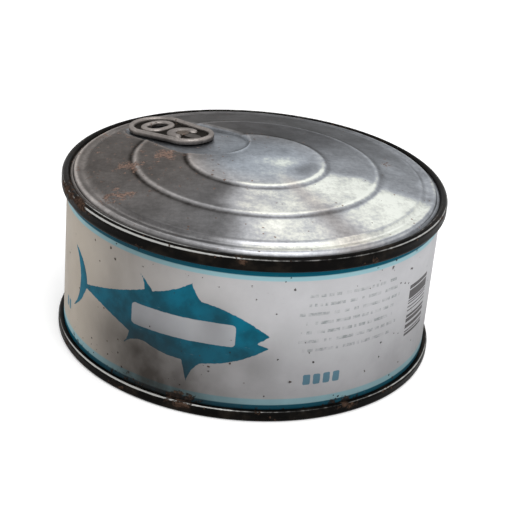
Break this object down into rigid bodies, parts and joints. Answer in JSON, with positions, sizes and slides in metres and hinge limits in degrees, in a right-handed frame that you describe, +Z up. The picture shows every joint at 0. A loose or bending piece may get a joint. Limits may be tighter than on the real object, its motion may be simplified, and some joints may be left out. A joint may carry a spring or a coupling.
{
  "type": "tuna can",
  "caption": "Shut round steel food can with double seams, a stepped domed easy-open lid, a riveted pull tab and a printed wall with a plain fish shape",
  "frame": {"origin": "centre of the plane that the can stands on, on the can's axis", "axes": "+Z up along the can's axis; the fish shape faces -Y with its head towards +X; the pull tab lies at 135 degrees from +X"},
  "size_m": [0.103, 0.103, 0.0506],
  "materials": {
    "printed_wall": "worn printed lacquer",
    "lid_steel": "scuffed, with rust specks",
    "base_lacquer": "chipped black lacquer",
    "tab_steel": "dull, scuffed"
  },
  "bodies": {
    "root": {"can_body": "printed_wall", "lid": "lid_steel", "base_end": "base_lacquer", "pull_tab": "tab_steel"}
  },
  "joints": []
}
